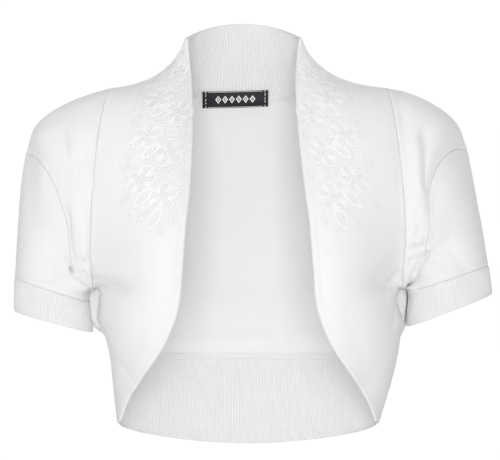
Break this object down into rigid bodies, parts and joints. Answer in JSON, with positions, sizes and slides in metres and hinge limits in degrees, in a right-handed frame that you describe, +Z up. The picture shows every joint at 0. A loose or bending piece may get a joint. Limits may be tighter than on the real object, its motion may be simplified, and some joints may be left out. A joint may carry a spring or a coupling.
{
  "type": "bolero jacket",
  "caption": "Short cropped jacket in jersey with short sleeves, a standing rib collar, rib cuffs, a rib band across the back and corded flower applique down both open fronts.",
  "frame": {"origin": "between the wearer's shoulders at the base of the neck, at the height where the shoulder line meets the neck and in the plane of the shoulder and side seams", "axes": "+Z up as worn, -Y the way the wearer faces, +X towards the wearer's left; the longest extent is along X, across both sleeves, and the shortest along Y"},
  "size_m": [0.5034, 0.2279, 0.454],
  "materials": {
    "jersey": "fine plain jersey, matte, white",
    "rib_knit": "rib knit, matte, white",
    "cord": "twisted cord with a soft sheen, white",
    "label_cloth": "woven satin label, black"
  },
  "bodies": {
    "root": {"back": "jersey", "front_right": "jersey", "front_left": "jersey", "cap_right": "jersey", "cap_left": "jersey", "sleeve_right": "jersey", "sleeve_left": "jersey", "cuff_right": "rib_knit", "cuff_left": "rib_knit", "collar": "rib_knit", "hem_band": "rib_knit", "label": "label_cloth", "applique_right": "cord", "applique_left": "cord"}
  },
  "joints": []
}
